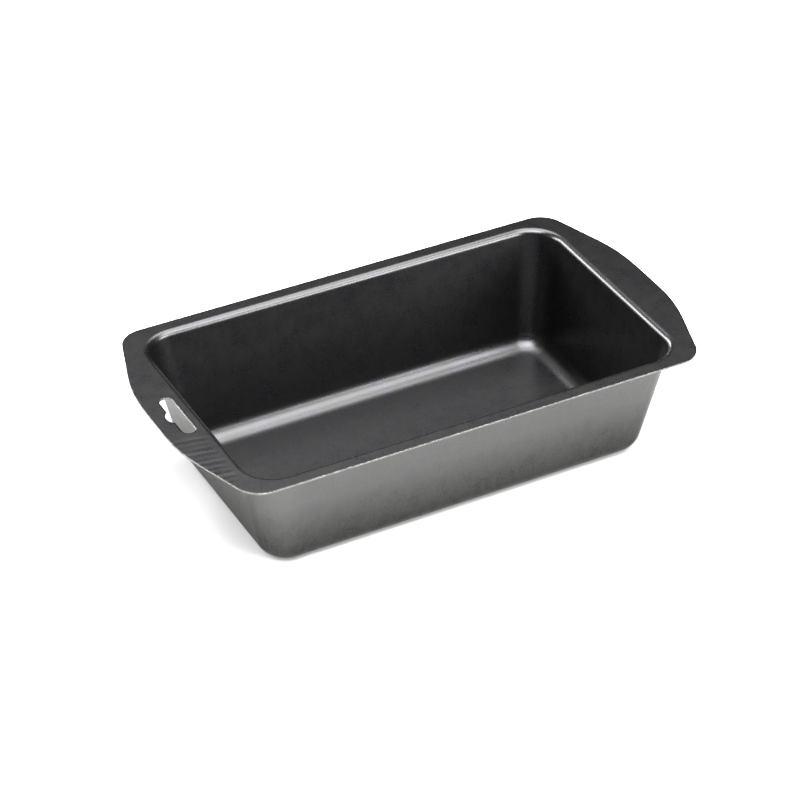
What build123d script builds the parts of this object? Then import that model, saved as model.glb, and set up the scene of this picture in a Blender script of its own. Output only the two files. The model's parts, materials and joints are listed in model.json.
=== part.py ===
from build123d import *
import os
from math import cos, radians, tan

# Loaf pan, pressed from one sheet of steel that is coated on both faces.
# Millimetres. +X runs along the pan, +Z is up, and the origin is the middle of the underside.

os.makedirs("parts", exist_ok=True)

# Overall size
overall_length = 280.4
overall_width = 154.8
overall_height = 65.0

# Sheet, from the food side to the outside
inner_coating = 0.1
steel = 0.7
outer_coating = 0.1
sheet = inner_coating + steel + outer_coating

# Tub, where the inner faces of its walls meet the plane of the rim's top
opening_length = 236.5
opening_width = 137.0
long_wall_draft = 11.6
slotted_end_draft = 12.3
plain_end_draft = 9.5
corner_radius_at_rim = 17.0
corner_radius_at_floor = 13.5
floor_fillet = 9.8
rim_bend = 3.4

# Rim outline: straight sides, slanted grip ends and a short straight tip
side_half_length = 124.0
tip_half_width = 27.6
side_corner_radius = 14.2
tip_shoulder_radius = 97.0

# Hang slot in the grip at the -X end: a 32 mm slot with a shallow bump towards the tip
slot_length = 32.6
slot_width = 6.8
slot_x = -127.7
slot_end_radius = 3.3
bump_width = 10.2
bump_depth = 2.6

# How far the working solids run past the sheet, and how near counts as the same height
overrun = 5.0
near = 0.001


def end_reach(rise, draft, offset):
    """How far an end wall stands from the middle, at a drop below the rim."""
    return opening_length / 2 - rise * tan(radians(draft)) + offset / cos(radians(draft))


def tub_section(height, offset):
    """Section of the tub at a height, with its walls moved outwards by the offset."""
    rise = overall_height - height
    left = end_reach(rise, slotted_end_draft, offset)
    right = end_reach(rise, plain_end_draft, offset)
    width = opening_width - 2 * rise * tan(radians(long_wall_draft))
    width += 2 * offset / cos(radians(long_wall_draft))
    share = (height - sheet) / (overall_height - sheet)
    radius = corner_radius_at_floor + share * (corner_radius_at_rim - corner_radius_at_floor)
    section = RectangleRounded(left + right, width, radius + offset)
    return Pos((right - left) / 2, 0, height) * section


def space_above(offset):
    """Everything on the food side of the surface that lies the offset below the food face."""
    floor_height = sheet - offset
    rim_height = overall_height - offset
    tub = loft([tub_section(floor_height, offset), tub_section(rim_height, offset)], ruled=True)
    tub = fillet(tub.edges().group_by(Axis.Z)[0], floor_fillet + offset)
    slab_length = overall_length + 2 * overrun
    slab_width = overall_width + 2 * overrun
    slab = Pos(0, 0, rim_height) * Box(
        slab_length, slab_width, overrun + offset, align=(Align.CENTER, Align.CENTER, Align.MIN)
    )
    space = tub + slab
    mouth = space.edges().filter_by_position(Axis.Z, rim_height - near, rim_height + near)
    mouth = mouth.filter_by(lambda edge: abs(edge.center().X) < overall_length / 2)
    return fillet(mouth, rim_bend - offset)


def rim_outline():
    """Plan of the pan: a long hexagonal rim with rounded sides and grips."""
    quarter = [(side_half_length, overall_width / 2), (overall_length / 2, tip_half_width)]
    right = quarter + [(x, -y) for x, y in reversed(quarter)]
    left = [(-x, -y) for x, y in right]
    outline = make_face(Polyline(*right, *left, close=True))
    tips = [corner for corner in outline.vertices() if abs(corner.Y) < overall_width / 4]
    outline = fillet(tips, tip_shoulder_radius)
    sides = [corner for corner in outline.vertices() if abs(corner.Y) > overall_width / 2 - near]
    return fillet(sides, side_corner_radius)


def hang_slot():
    """Plan of the hang slot, long along Y."""
    slot = RectangleRounded(slot_width, slot_length, slot_end_radius)
    edge = -slot_width / 2
    bump = make_face(
        [
            ThreePointArc((edge, bump_width / 2), (edge - bump_depth, 0), (edge, -bump_width / 2)),
            Polyline((edge, -bump_width / 2), (0, 0), (edge, bump_width / 2)),
        ]
    )
    return Pos(slot_x, 0) * (slot + bump)


def trimmed(layer):
    """Cut a layer to the rim's outline and pierce the hang slot."""
    plan = rim_outline() - hang_slot()
    return layer & extrude(plan, overall_height + overrun)


def make_inner_nonstick_coating():
    return trimmed(space_above(inner_coating) - space_above(0))


def make_steel_body():
    return trimmed(space_above(inner_coating + steel) - space_above(inner_coating))


def make_outer_coating():
    return trimmed(space_above(sheet) - space_above(inner_coating + steel))


nodes = {
    "steel_body": make_steel_body(),
    "inner_nonstick_coating": make_inner_nonstick_coating(),
    "outer_coating": make_outer_coating(),
}

for name, solid in nodes.items():
    solid.label = name
    export_step(solid, f"parts/{name}.step")
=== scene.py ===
import json
from math import atan2, ceil, cos, pi, radians, sin, tan

import bmesh
import bpy
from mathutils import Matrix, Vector
from mathutils.geometry import delaunay_2d_cdt


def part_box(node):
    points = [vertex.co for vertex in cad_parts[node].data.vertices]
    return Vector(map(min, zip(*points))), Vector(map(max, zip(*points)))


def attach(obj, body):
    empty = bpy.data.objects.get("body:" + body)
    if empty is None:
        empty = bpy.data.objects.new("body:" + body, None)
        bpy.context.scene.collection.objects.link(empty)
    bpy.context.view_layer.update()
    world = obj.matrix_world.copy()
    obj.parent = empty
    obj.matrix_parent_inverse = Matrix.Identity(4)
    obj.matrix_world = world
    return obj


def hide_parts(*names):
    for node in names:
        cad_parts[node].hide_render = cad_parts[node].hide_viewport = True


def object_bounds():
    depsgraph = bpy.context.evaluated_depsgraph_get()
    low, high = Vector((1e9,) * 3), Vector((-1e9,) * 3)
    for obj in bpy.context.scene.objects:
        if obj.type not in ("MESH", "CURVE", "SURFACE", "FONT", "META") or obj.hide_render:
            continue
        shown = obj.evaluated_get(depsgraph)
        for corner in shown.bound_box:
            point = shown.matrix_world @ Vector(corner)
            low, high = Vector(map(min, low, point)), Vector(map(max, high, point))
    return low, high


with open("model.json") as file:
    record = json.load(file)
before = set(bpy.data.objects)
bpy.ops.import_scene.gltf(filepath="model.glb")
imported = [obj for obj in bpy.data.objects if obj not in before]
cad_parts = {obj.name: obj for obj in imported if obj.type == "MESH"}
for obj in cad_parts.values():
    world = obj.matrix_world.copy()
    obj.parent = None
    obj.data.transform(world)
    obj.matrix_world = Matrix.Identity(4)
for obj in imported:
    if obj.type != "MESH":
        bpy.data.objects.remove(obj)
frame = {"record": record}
cad_box = [list(corner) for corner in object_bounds()]

# ---------------------------------------------------------------- sizes from the frame

MM = 0.001
LOW, HIGH = (Vector(corner) for corner in cad_box)
LENGTH = HIGH.x - LOW.x
WIDTH = HIGH.y - LOW.y
TOP = HIGH.z
INNER_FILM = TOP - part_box("steel_body")[1].z
INNER_AND_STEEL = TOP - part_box("outer_coating")[1].z
OUTER_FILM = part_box("steel_body")[0].z - LOW.z
SHEET = INNER_AND_STEEL + OUTER_FILM
MOUNTS = {mount["name"]: Vector(mount["pos_m"]) for mount in frame["record"]["mounts"]}
SLOT_X = MOUNTS["hang_slot"].x

# ---------------------------------------------------------------- sizes of the pressing

OPENING_LENGTH = 236.5 * MM
OPENING_WIDTH = 137.0 * MM
LONG_WALL_DRAFT = radians(11.6)
SLOTTED_END_DRAFT = radians(12.3)
PLAIN_END_DRAFT = radians(9.5)
CORNER_AT_RIM = 17.0 * MM
CORNER_AT_FLOOR = 13.5 * MM
FLOOR_FILLET = 9.8 * MM
RIM_BEND = 3.4 * MM

SIDE_HALF_LENGTH = 124.0 * MM
TIP_HALF_WIDTH = 27.6 * MM
SIDE_CORNER = 14.2 * MM
TIP_SHOULDER = 97.0 * MM

SLOT_LENGTH = 32.6 * MM
SLOT_WIDTH = 6.8 * MM
SLOT_END = 3.3 * MM
BUMP_WIDTH = 10.2 * MM
BUMP_DEPTH = 2.6 * MM

# Shallow draw marks across the front of the slotted grip. They are the sum of two waves, the second one
# longer and lower, and they lean towards +Y as they near the tip.
RIPPLE_DEPTH = 0.075 * MM
RIPPLE_PITCH = 4.2 * MM
RIPPLE_Y = (-66.0 * MM, -17.0 * MM)
RIPPLE_X = -121.0 * MM
RIPPLE_FADE = 5.0 * MM
RIPPLE_LEAN = 0.18
SECOND_WAVE = 0.6
SECOND_PITCH = 1.63 * RIPPLE_PITCH
SECOND_PHASE = 1.0

# ---------------------------------------------------------------- how finely it is meshed

CORNER_STEPS = 24
SIDE_STEPS = 36
FILLET_STEPS = 16
WALL_STEPS = 12
BEND_STEPS = 12
FLOOR_SHARES = (0.1, 0.3, 0.5, 0.7, 0.85, 0.94, 0.985)
RIM_MARGIN = 0.5 * MM
RIM_GRID = 3.0 * MM
RIPPLE_GRID = 0.8 * MM
SAME_PLACE = 0.0001 * MM
ARC_STEP = radians(5)
FEWEST_STEPS = 3
BUMP_STEPS = 12
EDGE_STEPS = 4
LEAST_MITRE = 0.3
SHARP = radians(40)

# The band along a cut edge, and how worn the film is at most on a bend, where 1 is at the cut edge
EDGE_BAND = 0.9 * MM
BEND_WEAR = 0.5


def wall_profile(half_opening, draft, offset):
    """Up one wall, from the floor to the flat of the rim. Each place is its distance from the middle, its
    height and how far it lies outside the plane of the wall."""

    def plane(height):
        return half_opening - (TOP - height) * tan(draft) + offset / cos(draft)

    fillet = FLOOR_FILLET + offset
    bend = RIM_BEND - offset
    turn = pi / 2 - draft
    fillet_z = SHEET - offset + fillet
    fillet_x = plane(fillet_z) - fillet / cos(draft)
    bend_z = TOP - offset - bend
    bend_x = plane(bend_z) + bend / cos(draft)

    points = []
    for step in range(FILLET_STEPS + 1):
        angle = turn * step / FILLET_STEPS
        points.append((fillet_x + fillet * sin(angle), fillet_z - fillet * cos(angle)))
    start, end = points[-1][1], bend_z + bend * sin(draft)
    for step in range(1, WALL_STEPS):
        share = (1 - cos(pi * step / WALL_STEPS)) / 2
        height = start + (end - start) * share
        points.append((plane(height), height))
    for step in range(BEND_STEPS + 1):
        angle = draft + turn * step / BEND_STEPS
        points.append((bend_x - bend * cos(angle), bend_z + bend * sin(angle)))
    points.append((points[-1][0] + RIM_MARGIN, points[-1][1]))
    return [(x, z, x - plane(z)) for x, z in points]


def places_round():
    """Places round a rounded rectangle: where each is along the straight part in X and in Y, from -1 to 1,
    and the way it faces."""
    corners = [(1, 1), (-1, 1), (-1, -1), (1, -1)]
    places = []
    for index, (u, v) in enumerate(corners):
        facing = index * pi / 2
        for step in range(CORNER_STEPS):
            places.append((u, v, facing + pi / 2 * step / CORNER_STEPS))
        next_u, next_v = corners[(index + 1) % 4]
        for step in range(SIDE_STEPS):
            share = step / SIDE_STEPS
            places.append((u + (next_u - u) * share, v + (next_v - v) * share, facing + pi / 2))
    return places


def tub_rings(offset):
    """Closed rings of points over the tub, from the floor's middle to the flat of the rim."""
    plain_end = wall_profile(OPENING_LENGTH / 2, PLAIN_END_DRAFT, offset)
    slotted_end = wall_profile(OPENING_LENGTH / 2, SLOTTED_END_DRAFT, offset)
    side = wall_profile(OPENING_WIDTH / 2, LONG_WALL_DRAFT, offset)
    rings = []
    for plain, slotted, (y, y_z, y_out) in zip(plain_end, slotted_end, side):
        share = (y_z - SHEET) / (TOP - SHEET)
        corner = CORNER_AT_FLOOR + share * (CORNER_AT_RIM - CORNER_AT_FLOOR) + offset
        y_corner = corner + y_out
        ring = []
        for u, v, facing in PLACES:
            x, x_z, x_out = (p + (q - p) * (1 - u) / 2 for p, q in zip(plain, slotted))
            x_corner = corner + x_out
            place = (
                u * (x - x_corner) + x_corner * cos(facing),
                v * (y - y_corner) + y_corner * sin(facing),
                x_z * cos(facing) ** 2 + y_z * sin(facing) ** 2,
            )
            ring.append(Vector(place))
        rings.append(ring)
    floor = [[Vector((p.x * share, p.y * share, p.z)) for p in rings[0]] for share in FLOOR_SHARES]
    return floor + rings


def rounded_path(corners):
    """A closed outline in plan from (x, y, radius) corners, with each corner as an arc."""
    path = []
    for index, (x, y, radius) in enumerate(corners):
        here = Vector((x, y))
        before = (Vector(corners[index - 1][:2]) - here).normalized()
        after = (Vector(corners[(index + 1) % len(corners)][:2]) - here).normalized()
        if radius == 0:
            path.append(here)
            continue
        half = before.angle(after) / 2
        centre = here + (before + after).normalized() * radius / sin(half)
        start = here + before * radius / tan(half) - centre
        turn = start.angle_signed(here + after * radius / tan(half) - centre)
        steps = max(FEWEST_STEPS, round(abs(turn) / ARC_STEP))
        for step in range(steps + 1):
            angle = -turn * step / steps
            x_arm = start.x * cos(angle) - start.y * sin(angle)
            y_arm = start.x * sin(angle) + start.y * cos(angle)
            path.append(centre + Vector((x_arm, y_arm)))
    return path


def rim_path():
    """The rim's outline: a long hexagon with rounded sides and grips."""
    quarter = [
        (SIDE_HALF_LENGTH, WIDTH / 2, SIDE_CORNER),
        (LENGTH / 2, TIP_HALF_WIDTH, TIP_SHOULDER),
    ]
    right = quarter + [(x, -y, radius) for x, y, radius in reversed(quarter)]
    return rounded_path(right + [(-x, -y, radius) for x, y, radius in right])


def slot_path():
    """The hang slot's outline: a rounded slot along Y with a shallow arc towards the tip."""
    far, near = SLOT_X - SLOT_WIDTH / 2, SLOT_X + SLOT_WIDTH / 2
    radius = ((BUMP_WIDTH / 2) ** 2 + BUMP_DEPTH**2) / (2 * BUMP_DEPTH)
    centre = far - BUMP_DEPTH + radius
    reach = pi / 2 - Vector((centre - far, BUMP_WIDTH / 2)).angle(Vector((0, 1)))
    bump = []
    for step in range(BUMP_STEPS + 1):
        angle = reach - 2 * reach * step / BUMP_STEPS
        bump.append((centre - radius * cos(angle), radius * sin(angle), 0))
    corners = [(near, -SLOT_LENGTH / 2, SLOT_END), (near, SLOT_LENGTH / 2, SLOT_END)]
    corners += [(far, SLOT_LENGTH / 2, SLOT_END)] + bump + [(far, -SLOT_LENGTH / 2, SLOT_END)]
    return rounded_path(corners)


def moved_left(path, distance):
    """A closed path moved to its left by the distance. The metal lies to its right, round the rim and round
    the slot."""
    moved = []
    for index, here in enumerate(path):
        before = (here - path[index - 1]).normalized()
        after = (path[(index + 1) % len(path)] - here).normalized()
        along = (before + after).normalized()
        left = Vector((-along.y, along.x))
        stretch = 1 / max(LEAST_MITRE, left.dot(Vector((-before.y, before.x))))
        moved.append(here + left * distance * stretch)
    return moved


def inside(point, path):
    """Whether a point in plan lies inside a closed path."""
    odd = False
    for index, b in enumerate(path):
        a = path[index - 1]
        if (a.y > point[1]) != (b.y > point[1]):
            if point[0] < a.x + (point[1] - a.y) * (b.x - a.x) / (b.y - a.y):
                odd = not odd
    return odd


def nearest(point, path):
    """How near a closed path comes to a point in plan."""
    found = []
    for index, b in enumerate(path):
        a = path[index - 1]
        along = b - a
        share = min(1.0, max(0.0, (point - a).dot(along) / along.length_squared))
        found.append((point - a - along * share).length)
    return min(found)


def add_ring(mesh, points, wear=0.0):
    """A ring of vertices, with how worn the film is along it."""
    worn = mesh.verts.layers.float["wear"]
    ring = [mesh.verts.new(point) for point in points]
    for vertex in ring:
        vertex[worn] = wear
    return ring


def on_rim(path, depth):
    """A path in plan as points on the flat of the rim, at a depth below its top."""
    return [Vector((p.x, p.y, TOP - depth + ripple(p.x, p.y))) for p in path]


def bridge(mesh, first, second):
    """Quads between two rings of the same length."""
    for index in range(len(first)):
        mesh.faces.new((first[index - 1], first[index], second[index], second[index - 1]))


def smooth(value, low, high):
    """0 at or below low, 1 at or above high, and a smooth step between."""
    share = min(1.0, max(0.0, (value - low) / (high - low)))
    return share * share * (3 - 2 * share)


def ripple(x, y):
    """How far the draw marks move the rim's surface at a place. They only sink it."""
    front, back = RIPPLE_Y
    here = smooth(-x, -RIPPLE_X, -RIPPLE_X + RIPPLE_FADE)
    here *= smooth(y, front, front + RIPPLE_FADE) * (1 - smooth(y, back - RIPPLE_FADE, back))
    across = y + RIPPLE_LEAN * (x + LENGTH / 2)
    wave = sin(2 * pi * across / RIPPLE_PITCH)
    wave += SECOND_WAVE * sin(2 * pi * across / SECOND_PITCH + SECOND_PHASE)
    peak = 1 + SECOND_WAVE
    return -RIPPLE_DEPTH * here * (peak + wave) / (2 * peak)


def rippled(place):
    """Whether a place in plan is among the draw marks."""
    return place.x < RIPPLE_X and RIPPLE_Y[0] < place.y < RIPPLE_Y[1]


def rim_grid():
    """Places over the flat of the rim, clear of its edges, and closer together where it ripples."""
    tub = [place.to_2d() for place in tub_rings(0)[-1]]
    outline, slot = (moved_left(path, -EDGE_BAND) for path in (RIM_PATH, SLOT_PATH))
    places = []
    for grid, fine in ((RIM_GRID, False), (RIPPLE_GRID, True)):
        columns, rows = round(LENGTH / grid), round(WIDTH / grid)
        for index in range(columns * rows):
            p = Vector((LOW.x + index % columns * grid, LOW.y + index // columns * grid))
            if rippled(p) != fine or inside(p, tub) or inside(p, slot) or not inside(p, outline):
                continue
            if min(nearest(p, path) for path in (tub, outline, slot)) > grid / 2:
                places.append(p)
    return places


def evened(path):
    """The path with extra points where the rim ripples, so that its edge can follow."""
    result = []
    for index, here in enumerate(path):
        before = path[index - 1]
        steps = 1
        if rippled(here) or rippled(before):
            steps = ceil((here - before).length / RIPPLE_GRID)
        result += [before.lerp(here, (step + 1) / steps) for step in range(steps)]
    return result


def fill_rim(mesh, depth, inner_ring, outer_ring, slot_ring):
    """Triangles over the flat of the rim, between the tub, the outline and the hang slot."""
    rings = [inner_ring, outer_ring, slot_ring]
    paths = [[v.co.to_2d() for v in ring] for ring in rings]
    tub, outline, slot = paths
    points = [p for path in paths for p in path] + RIM_PLACES
    edges = []
    start = 0
    for path in paths:
        edges += [(start + i, start + (i + 1) % len(path)) for i in range(len(path))]
        start += len(path)
    vertices = [v for ring in rings for v in ring] + add_ring(mesh, on_rim(RIM_PLACES, depth))
    found = delaunay_2d_cdt(points, edges, [], 0, SAME_PLACE)
    places, triangles, origins = found[0], found[2], found[3]
    for triangle in triangles:
        middle = sum((places[i] for i in triangle), Vector((0, 0))) / 3
        if inside(middle, tub) or inside(middle, slot) or not inside(middle, outline):
            continue
        mesh.faces.new([vertices[origins[i][0]] for i in triangle])


def ring_wear(offset):
    """How worn the film is on each ring of the tub: on the food side it wears on the bend into the rim, and
    on the outside on the fillet round the base."""
    fillet = [BEND_WEAR * sin(pi * step / FILLET_STEPS) for step in range(FILLET_STEPS + 1)]
    bend = [BEND_WEAR * sin(pi * step / BEND_STEPS) for step in range(BEND_STEPS + 1)]
    if offset < SHEET / 2:
        fillet = [0.0] * len(fillet)
    else:
        bend = [0.0] * len(bend)
    return [0.0] * len(FLOOR_SHARES) + fillet + [0.0] * (WALL_STEPS - 1) + bend + [0.0]


def surface(mesh, offset, outline, slot):
    """One face of the sheet, from the floor's middle to its outline. Gives its outline and slot rings."""
    rings = [add_ring(mesh, ring, wear) for ring, wear in zip(tub_rings(offset), ring_wear(offset))]
    for first, second in zip(rings, rings[1:]):
        bridge(mesh, first, second)
    middle = add_ring(mesh, [(0, 0, SHEET - offset)])[0]
    for index in range(len(rings[0])):
        mesh.faces.new((middle, rings[0][index - 1], rings[0][index]))
    edges, bands = [], []
    for path in (outline, slot):
        edges.append(add_ring(mesh, on_rim(path, offset), 1.0))
        bands.append(add_ring(mesh, on_rim(moved_left(path, -EDGE_BAND), offset)))
        bridge(mesh, edges[-1], bands[-1])
    fill_rim(mesh, offset, rings[-1], *bands)
    return edges


def edge_profile(upper, lower, rounded):
    """Down the cut edge of a layer: how far each place lies back into the metal, and its depth. The edge is
    rounded over at the "top" or the "bottom", or straight."""
    thickness = lower - upper
    quarter = [pi / 2 * step / EDGE_STEPS for step in range(EDGE_STEPS + 1)]
    if rounded == "top":
        return [(thickness * (1 - sin(a)), lower - thickness * cos(a)) for a in quarter]
    if rounded == "bottom":
        return [(thickness * (1 - cos(a)), upper + thickness * sin(a)) for a in quarter]
    return [(0.0, upper), (0.0, lower)]


def layer(name, upper, lower, rounded):
    """A closed layer of the sheet between two depths below the food face."""
    mesh = bmesh.new()
    mesh.verts.layers.float.new("wear")
    profile = edge_profile(upper, lower, rounded)
    outlines = [moved_left(RIM_PATH, -back) for back, _ in profile]
    slots = [moved_left(SLOT_PATH, -back) for back, _ in profile]
    last = surface(mesh, upper, outlines[0], slots[0])
    lower_rings = surface(mesh, lower, outlines[-1], slots[-1])
    for index in range(1, len(profile) - 1):
        depth = profile[index][1]
        rings = [add_ring(mesh, on_rim(path[index], depth), 1.0) for path in (outlines, slots)]
        bridge(mesh, last[0], rings[0])
        bridge(mesh, last[1], rings[1])
        last = rings
    bridge(mesh, last[0], lower_rings[0])
    bridge(mesh, last[1], lower_rings[1])
    bmesh.ops.recalc_face_normals(mesh, faces=mesh.faces)
    for face in mesh.faces:
        face.smooth = True
    data = bpy.data.meshes.new(name)
    mesh.to_mesh(data)
    mesh.free()
    data.set_sharp_from_angle(angle=SHARP)
    piece = bpy.data.objects.new(name, data)
    bpy.context.scene.collection.objects.link(piece)
    return piece


PLACES = places_round()
RIM_PATH = evened(rim_path())
SLOT_PATH = slot_path()
RIM_PLACES = rim_grid()


# ---------------------------------------------------------------- materials

# The part of a noise's range that most of it fills, and narrower parts, for patches and streaks with
# clearer edges
NOISE_SPAN = (0.3, 0.7)
PATCH_SPAN = (0.35, 0.65)
STREAK_SPAN = (0.45, 0.7)

# Both films. A tint value is a share of the lighter tint, and a rough value moves the roughness.
INNER_COOL = (0.0465, 0.0458, 0.052)
INNER_WARM = (0.0455, 0.0455, 0.0445)
INNER_METALLIC = 0.98
INNER_STREAK_LENGTH = 20
OUTER_COOL = (0.084, 0.084, 0.086)
OUTER_WARM = (0.081, 0.082, 0.078)
OUTER_METALLIC = 0.97
OUTER_STREAK_LENGTH = 30
OUTER_EDGE_TINT = (0.6, 0.6, 0.6, 1)
FILM_ROUGHNESS = 0.3
LIGHTER = 1.35
GRAIN = 0.55 * MM
GRAIN_TINT = 0.45
GRAIN_ROUGH = 0.03
GRAIN_HEIGHT = 0.006 * MM
CLOUD = 9.0 * MM
CLOUD_ROUGH = 0.02
STREAK = 1.6 * MM
STREAK_TINT = 0.12
STREAK_ROUGH = 0.006
STREAK_HEIGHT = 0.15
WEAR_TINT = 0.5
WEAR_ROUGH = 0.06
CHIP = 0.8 * MM
CHIP_RAGGED = 0.3
CHIP_WEAR = 0.97
CHIP_DEPTH = 3.0
SPECK_SPACING = 9.0 * MM
SPECK_RADIUS = 0.3 * MM
SPECK_CORE = 0.6
SPECKS_KEPT = 0.25
SPECK_COLOUR = (0.16, 0.16, 0.155)

# Painted shade: the darker, browner band low on the outside, which fades out up the wall
PAINTED_SHADE_LOW = 6.0 * MM
PAINTED_SHADE_HIGH = 41.0 * MM
PAINTED_SHADE_UNEVEN = 4.0 * MM
PAINTED_SHADE_COLOUR = (0.02, 0.0206, 0.0178)

# Bare steel at the cut edge
STEEL_COLOUR = (0.16, 0.157, 0.149)
STEEL_DULL = (0.12, 0.117, 0.11)
STEEL_ROUGHNESS = 0.35
STEEL_ROUGH_SPAN = (0.3, 0.45)
STEEL_PATCH = 5.0 * MM
SHEAR_MARK = 0.3 * MM
SHEAR_LENGTH = 6
SHEAR_ROUGH = 0.06
SHEAR_HEIGHT = 0.01 * MM

# Where a Mix node keeps its two colours and its result
FIRST_COLOUR, SECOND_COLOUR, MIXED_COLOUR = 6, 7, 2


def principled(name, colour, metallic, roughness):
    """A plain material, for more nodes to be added to."""
    material = bpy.data.materials.new(name)
    material.use_nodes = True
    shader = material.node_tree.nodes["Principled BSDF"]
    shader.inputs["Base Color"].default_value = (*colour, 1)
    shader.inputs["Metallic"].default_value = metallic
    shader.inputs["Roughness"].default_value = roughness
    return material


def noise(tree, period, detail=2.0, length=1):
    """Noise over the object, a value about 0.5 that varies over the period, and longer up the object."""
    place = tree.nodes.new("ShaderNodeTexCoord")
    spread = tree.nodes.new("ShaderNodeMapping")
    spread.inputs["Scale"].default_value = (1 / period, 1 / period, 1 / (period * length))
    texture = tree.nodes.new("ShaderNodeTexNoise")
    texture.inputs["Scale"].default_value = 1.0
    texture.inputs["Detail"].default_value = detail
    tree.links.new(place.outputs["Object"], spread.inputs["Vector"])
    tree.links.new(spread.outputs["Vector"], texture.inputs["Vector"])
    return texture.outputs["Fac"]


def calculate(tree, operation, first, second):
    """A Math node over two values, each a number or another node's output."""
    node = tree.nodes.new("ShaderNodeMath")
    node.operation = operation
    for socket, value in zip(node.inputs, (first, second)):
        if isinstance(value, (int, float)):
            socket.default_value = value
        else:
            tree.links.new(value, socket)
    return node.outputs["Value"]


def ranged(tree, value, span, low, high):
    """A value stretched from a span of it to the range from low to high, and held inside that range."""
    stretch = tree.nodes.new("ShaderNodeMapRange")
    tree.links.new(value, stretch.inputs["Value"])
    stretch.inputs["From Min"].default_value, stretch.inputs["From Max"].default_value = span
    stretch.inputs["To Min"].default_value = low
    stretch.inputs["To Max"].default_value = high
    return stretch.outputs["Result"]


def blend(tree, share, first, second):
    """A colour between two colours, each a tuple or another node's output."""
    mix = tree.nodes.new("ShaderNodeMix")
    mix.data_type = "RGBA"
    tree.links.new(share, mix.inputs["Factor"])
    for socket, colour in ((FIRST_COLOUR, first), (SECOND_COLOUR, second)):
        if isinstance(colour, tuple):
            mix.inputs[socket].default_value = (*colour, 1)
        else:
            tree.links.new(colour, mix.inputs[socket])
    return mix.outputs[MIXED_COLOUR]


def roughen(tree, height, distance):
    """Small relief on the material's surface."""
    bump = tree.nodes.new("ShaderNodeBump")
    bump.inputs["Distance"].default_value = distance
    tree.links.new(height, bump.inputs["Height"])
    tree.links.new(bump.outputs["Normal"], tree.nodes["Principled BSDF"].inputs["Normal"])


def specks(tree):
    """Sparse round specks: 1 inside a speck and 0 elsewhere."""
    place = tree.nodes.new("ShaderNodeTexCoord")
    cells = tree.nodes.new("ShaderNodeTexVoronoi")
    cells.inputs["Scale"].default_value = 1 / SPECK_SPACING
    tree.links.new(place.outputs["Object"], cells.inputs["Vector"])
    chosen = tree.nodes.new("ShaderNodeSeparateColor")
    tree.links.new(cells.outputs["Color"], chosen.inputs["Color"])
    size = SPECK_RADIUS / SPECK_SPACING
    near = ranged(tree, cells.outputs["Distance"], (size * SPECK_CORE, size), 1.0, 0.0)
    kept = calculate(tree, "LESS_THAN", chosen.outputs["Red"], SPECKS_KEPT)
    return calculate(tree, "MULTIPLY", near, kept)


def height_share(tree, cloud):
    """Where the painted shade fades out: 0 at the base to 1 well up the wall, with an uneven edge."""
    place = tree.nodes.new("ShaderNodeTexCoord")
    split = tree.nodes.new("ShaderNodeSeparateXYZ")
    tree.links.new(place.outputs["Object"], split.inputs["Vector"])
    shift = ranged(tree, cloud, NOISE_SPAN, -PAINTED_SHADE_UNEVEN, PAINTED_SHADE_UNEVEN)
    uneven = calculate(tree, "ADD", split.outputs["Z"], shift)
    return ranged(tree, uneven, (PAINTED_SHADE_LOW, PAINTED_SHADE_HIGH), 0.0, 1.0)


def film(name, cool, warm, metallic, streak_length, painted_shade_colour=None):
    """A sprayed and baked coating: fine grain, cloudy patches that shift between two tints, faint draw
    streaks, sparse specks, a polished bend or edge, and steel showing in chips along the cut edge. Given a
    shade colour, it also has painted shade low on the wall."""
    material = principled(name, cool, metallic, FILM_ROUGHNESS)
    tree = material.node_tree
    shader = tree.nodes["Principled BSDF"]
    grain = noise(tree, GRAIN)
    cloud = noise(tree, CLOUD, detail=4.0)
    streak = noise(tree, STREAK, detail=3.0, length=streak_length)
    wear = tree.nodes.new("ShaderNodeAttribute")
    wear.attribute_name = "wear"
    wear = wear.outputs["Fac"]
    speck = specks(tree)

    tint = blend(tree, ranged(tree, cloud, PATCH_SPAN, 0.0, 1.0), cool, warm)
    # Painted shade: the outside is darker and browner low on the wall, fading out upwards.
    if painted_shade_colour:
        tint = blend(tree, height_share(tree, cloud), painted_shade_colour, tint)
    light = tuple(LIGHTER * value for value in warm)
    tint = blend(tree, ranged(tree, grain, NOISE_SPAN, 0.0, GRAIN_TINT), tint, light)
    tint = blend(tree, ranged(tree, streak, STREAK_SPAN, 0.0, STREAK_TINT), tint, light)
    tint = blend(tree, ranged(tree, wear, (0.0, 1.0), 0.0, WEAR_TINT), tint, light)
    tint = blend(tree, speck, tint, SPECK_COLOUR)
    ragged = ranged(tree, noise(tree, CHIP), NOISE_SPAN, -CHIP_RAGGED, CHIP_RAGGED)
    chip = ranged(tree, calculate(tree, "ADD", wear, ragged), (CHIP_WEAR, 1.0), 0.0, 1.0)
    tint = blend(tree, chip, tint, STEEL_COLOUR)
    tree.links.new(tint, shader.inputs["Base Color"])

    rough = ranged(tree, cloud, NOISE_SPAN, FILM_ROUGHNESS - CLOUD_ROUGH, FILM_ROUGHNESS + CLOUD_ROUGH)
    for pattern, reach in ((grain, GRAIN_ROUGH), (streak, STREAK_ROUGH)):
        rough = calculate(tree, "ADD", rough, ranged(tree, pattern, NOISE_SPAN, -reach, reach))
    rough = calculate(tree, "SUBTRACT", rough, calculate(tree, "MULTIPLY", wear, WEAR_ROUGH))
    tree.links.new(rough, shader.inputs["Roughness"])

    height = calculate(tree, "ADD", grain, calculate(tree, "MULTIPLY", streak, STREAK_HEIGHT))
    height = calculate(tree, "SUBTRACT", height, calculate(tree, "MULTIPLY", chip, CHIP_DEPTH))
    roughen(tree, height, GRAIN_HEIGHT)
    return material


def inner_film_material():
    """The food side: near black, and a little cooler in patches."""
    return film("inner_film", INNER_COOL, INNER_WARM, INNER_METALLIC, INNER_STREAK_LENGTH)


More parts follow.
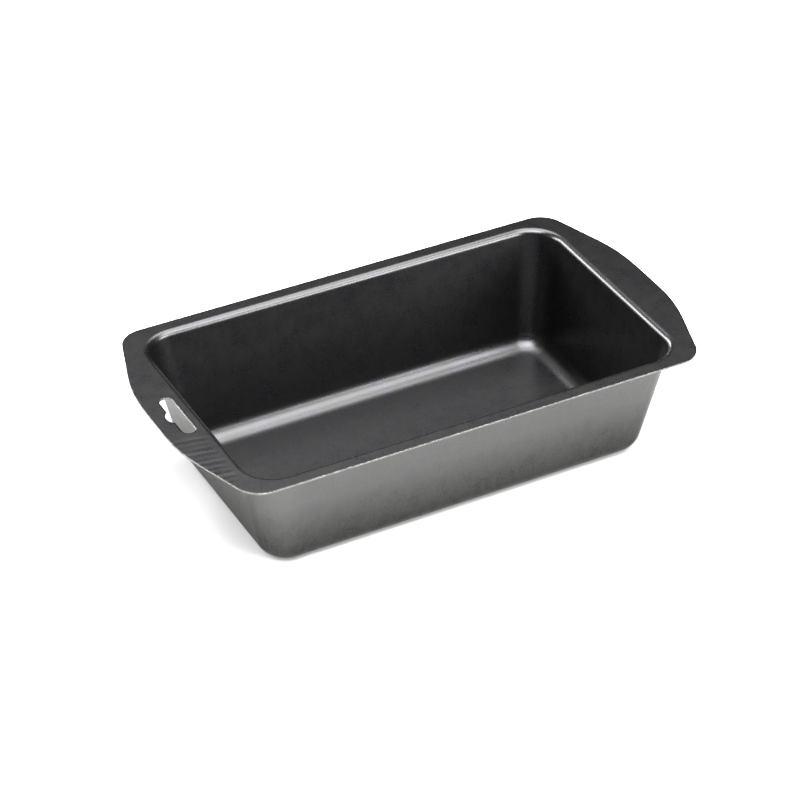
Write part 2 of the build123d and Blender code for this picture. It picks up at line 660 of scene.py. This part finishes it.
def outer_film_material():
    """The outside: a lighter grey film, with painted shade that makes it browner and darker low down."""
    material = film(
        "outer_film", OUTER_COOL, OUTER_WARM, OUTER_METALLIC, OUTER_STREAK_LENGTH, PAINTED_SHADE_COLOUR
    )
    shader = material.node_tree.nodes["Principled BSDF"]
    shader.inputs["Specular Tint"].default_value = OUTER_EDGE_TINT
    return material


def steel_material():
    """Bare sheet steel at the cut edge, with dull patches and shear marks down the edge."""
    material = principled("bare_steel", STEEL_COLOUR, 1.0, STEEL_ROUGHNESS)
    tree = material.node_tree
    shader = tree.nodes["Principled BSDF"]
    marks = noise(tree, SHEAR_MARK, length=SHEAR_LENGTH)
    patch = noise(tree, STEEL_PATCH, detail=3.0)
    tint = blend(tree, ranged(tree, patch, PATCH_SPAN, 0.0, 1.0), STEEL_COLOUR, STEEL_DULL)
    tree.links.new(tint, shader.inputs["Base Color"])
    rough = ranged(tree, patch, NOISE_SPAN, *STEEL_ROUGH_SPAN)
    rough = calculate(tree, "ADD", rough, ranged(tree, marks, NOISE_SPAN, -SHEAR_ROUGH, SHEAR_ROUGH))
    tree.links.new(rough, shader.inputs["Roughness"])
    roughen(tree, marks, SHEAR_HEIGHT)
    return material


# ---------------------------------------------------------------- the pan

food_side_film = layer("food_side_film", 0.0, INNER_FILM, "top")
steel_sheet = layer("steel_sheet", INNER_FILM, INNER_AND_STEEL, "")
outside_film = layer("outside_film", INNER_AND_STEEL, SHEET, "bottom")
pieces = [
    (food_side_film, "inner_nonstick_coating", "inner_coating", inner_film_material()),
    (steel_sheet, "steel_body", "bare_steel", steel_material()),
    (outside_film, "outer_coating", "outer_coating", outer_film_material()),
]
for piece, node, slot, material in pieces:
    piece.data.materials.append(material)
    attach(piece, "root")
    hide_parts(node)

# ---------------------------------------------------------------- floor, light and camera

CAMERA_AZIMUTH = radians(-28.09)
CAMERA_ELEVATION = radians(35.08)
CAMERA_DISTANCE = 1.5528
CAMERA_LENS = 136.96
CAMERA_SENSOR = 36
CAMERA_TARGET = Vector((-0.001577, 0.006632, 0.02838))

FLOOR_SIZE = 12
FLOOR_COLOUR = (0.65, 0.65, 0.65)
FLOOR_ROUGHNESS = 0.9
WORLD_STRENGTH = 0.12


def make_floor():
    """A plain pale floor with no gloss, far wider than the view."""
    bpy.ops.mesh.primitive_plane_add(size=FLOOR_SIZE, location=(0, 0, LOW.z))
    floor = bpy.context.object
    floor.name = "floor"
    material = principled("floor_paper", FLOOR_COLOUR, 0.0, FLOOR_ROUGHNESS)
    material.node_tree.nodes["Principled BSDF"].inputs["Specular IOR Level"].default_value = 0.0
    floor.data.materials.append(material)


def make_softbox(name, place, height, size, brightness, pitch=0):
    """A softbox at a place given across the picture and away from the camera, in metres from the pan, and
    at a height. It faces straight down, or is pitched up from there to face the pan."""
    across, away = place
    turn = CAMERA_AZIMUTH if pitch == 0 else atan2(-across, away) + pi + CAMERA_AZIMUTH
    data = bpy.data.lights.new(name, "AREA")
    data.shape = "RECTANGLE"
    data.size, data.size_y = size
    data.energy = brightness * pi * size[0] * size[1]
    light = bpy.data.objects.new(name, data)
    right = Vector((cos(CAMERA_AZIMUTH), sin(CAMERA_AZIMUTH)))
    ahead = Vector((-sin(CAMERA_AZIMUTH), cos(CAMERA_AZIMUTH)))
    light.location = (right * across + ahead * away).to_3d() + Vector((0, 0, height))
    light.rotation_euler = (pitch, 0, turn)
    light.visible_camera = False
    bpy.context.scene.collection.objects.link(light)


def make_camera():
    """A long lens above the pan, to its front left, which looks at a place near its middle."""
    data = bpy.data.cameras.new("camera")
    data.sensor_width = CAMERA_SENSOR
    data.lens = CAMERA_LENS
    camera = bpy.data.objects.new("camera", data)
    level = cos(CAMERA_ELEVATION)
    back = Vector((sin(CAMERA_AZIMUTH) * level, -cos(CAMERA_AZIMUTH) * level, sin(CAMERA_ELEVATION)))
    camera.location = CAMERA_TARGET + back * CAMERA_DISTANCE
    camera.rotation_euler = (-back).to_track_quat("-Z", "Y").to_euler()
    bpy.context.scene.collection.objects.link(camera)
    bpy.context.scene.camera = camera


def make_world():
    """Weak even light from all round."""
    world = bpy.data.worlds.new("studio")
    world.use_nodes = True
    background = world.node_tree.nodes["Background"]
    background.inputs["Color"].default_value = (1, 1, 1, 1)
    background.inputs["Strength"].default_value = WORLD_STRENGTH
    bpy.context.scene.world = world


make_floor()
make_softbox("near_softbox", place=(0.4, -0.37), height=1.05, size=(1.5, 0.8), brightness=13.5)
make_softbox("far_softbox", place=(0.04, 0.44), height=1.05, size=(0.9, 0.75), brightness=10.5)
make_softbox("corner_softbox", place=(-0.12, -0.42), height=1.04, size=(0.65, 0.7), brightness=5.0)
make_softbox(
    "front_softbox",
    place=(1.33, -0.67),
    height=0.55,
    size=(0.9, 0.6),
    brightness=22.0,
    pitch=radians(70),
)
make_softbox(
    "back_left_softbox",
    place=(-1.25, 0.68),
    height=0.62,
    size=(2.2, 0.42),
    brightness=26.0,
    pitch=radians(66),
)
make_world()
make_camera()
bpy.context.scene.view_settings.view_transform = "Standard"
